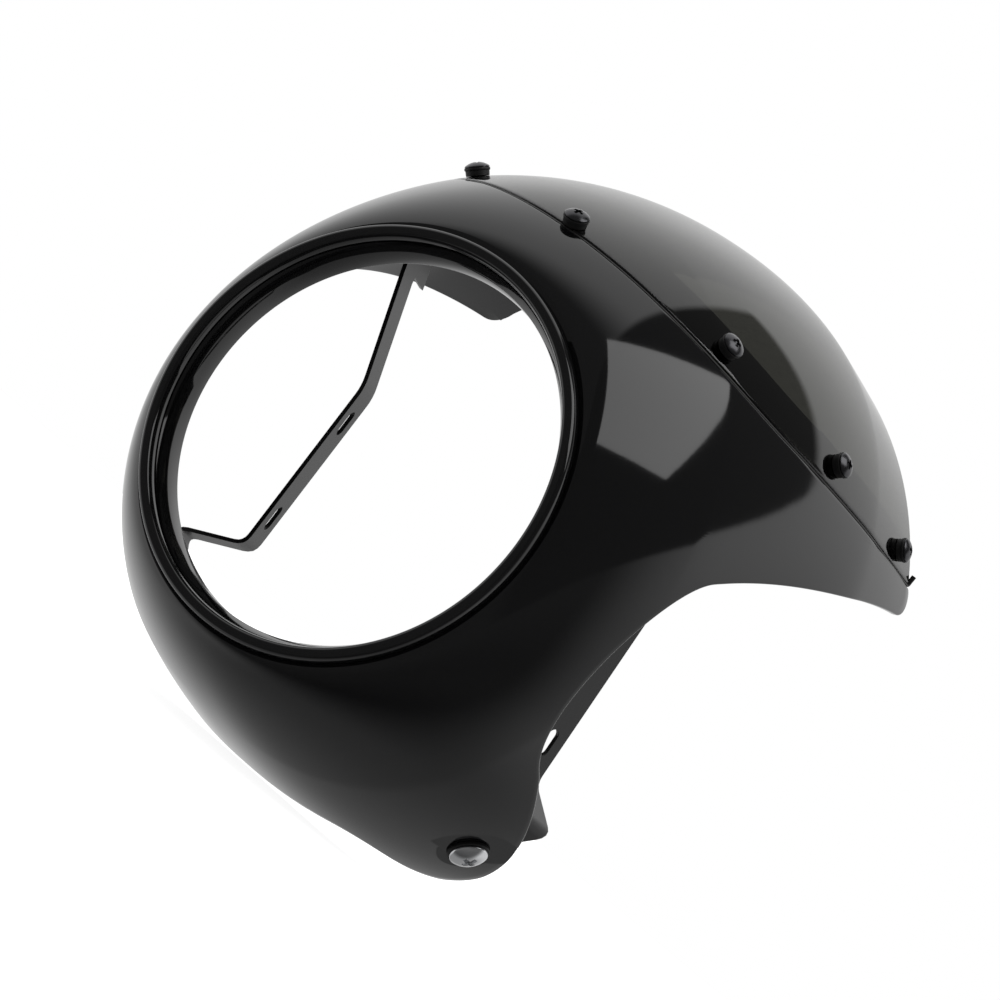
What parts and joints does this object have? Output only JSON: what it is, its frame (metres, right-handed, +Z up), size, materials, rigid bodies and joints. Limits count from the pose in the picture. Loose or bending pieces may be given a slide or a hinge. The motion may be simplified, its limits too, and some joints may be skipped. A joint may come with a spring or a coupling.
{
  "type": "headlight cowl",
  "caption": "Moulded black headlight cowl for a round headlamp, with a smoked screen screwed on top and bent strap brackets for the fork.",
  "frame": {"origin": "centre of the headlamp hole, in the plane of its front lip", "axes": "+Z up, the front faces -Y, +X to the right seen from the front looking along +Y"},
  "size_m": [0.2902, 0.2592, 0.3341],
  "materials": {
    "gloss_black": "gloss",
    "smoked_acrylic": "clear, lightly smoked",
    "black_steel": "satin black coating",
    "bright_screws": "polished",
    "black_rubber": "matt"
  },
  "bodies": {
    "root": {"shell": "gloss_black", "windscreen": "smoked_acrylic", "seam_gasket": "black_rubber", "bracket_left": "black_steel", "bracket_right": "black_steel", "seam_screw_1": "bright_screws", "seam_screw_2": "bright_screws", "seam_screw_3": "bright_screws", "seam_screw_4": "bright_screws", "seam_screw_5": "bright_screws", "seam_screw_6": "bright_screws", "seam_screw_7": "bright_screws", "seam_washer_1": "black_rubber", "seam_washer_2": "black_rubber", "seam_washer_3": "black_rubber", "seam_washer_4": "black_rubber", "seam_washer_5": "black_rubber", "seam_washer_6": "black_rubber", "seam_washer_7": "black_rubber", "seam_nut_1": "black_rubber", "seam_nut_2": "black_rubber", "seam_nut_3": "black_rubber", "seam_nut_4": "black_rubber", "seam_nut_5": "black_rubber", "seam_nut_6": "black_rubber", "seam_nut_7": "black_rubber", "tab_bolt_left": "bright_screws", "tab_bolt_right": "bright_screws", "tab_washer_left": "black_rubber", "tab_washer_right": "black_rubber", "tab_nut_left": "black_steel", "tab_nut_right": "black_steel"}
  },
  "joints": []
}
